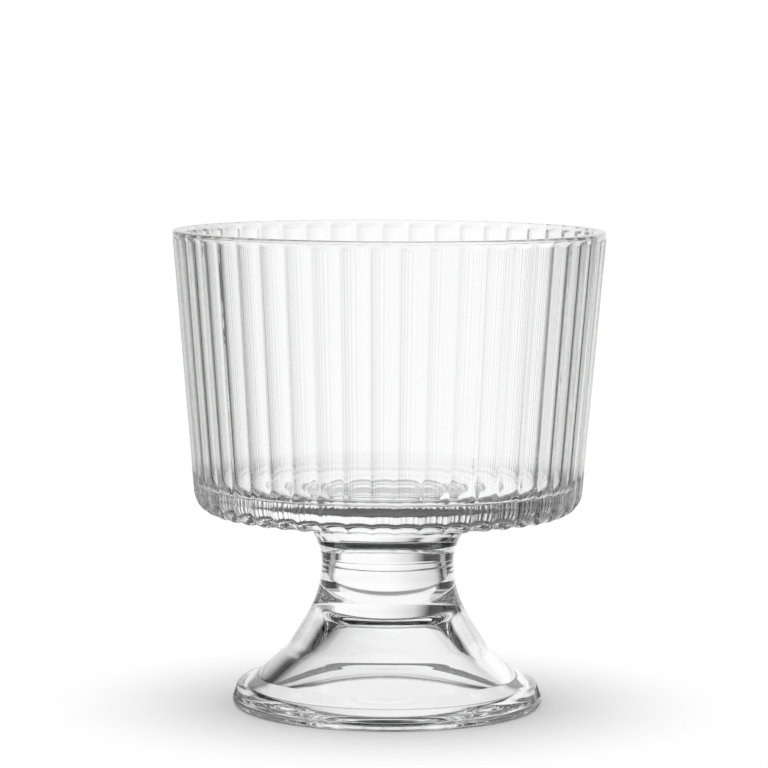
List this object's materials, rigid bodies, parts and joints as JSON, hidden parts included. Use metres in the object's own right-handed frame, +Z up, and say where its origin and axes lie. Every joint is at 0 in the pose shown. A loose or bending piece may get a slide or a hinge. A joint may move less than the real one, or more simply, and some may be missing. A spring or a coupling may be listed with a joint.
{
  "type": "parfait glass",
  "caption": "Clear pressed-glass footed dessert glass with a short fluted bowl, a short solid stem and a hollow bell-shaped foot.",
  "frame": {"origin": "centre of the foot, on the surface that the glass stands on", "axes": "+Z up along the axis of the glass, +X and +Y level"},
  "size_m": [0.1, 0.1, 0.1105],
  "materials": {
    "bowl_glass": "clear, colourless, fire-polished",
    "stem_glass": "clear, colourless, fire-polished",
    "foot_glass": "clear, colourless, faint ripples from the mould"
  },
  "bodies": {
    "root": {"bowl": "bowl_glass", "stem": "stem_glass", "foot": "foot_glass"}
  },
  "joints": []
}
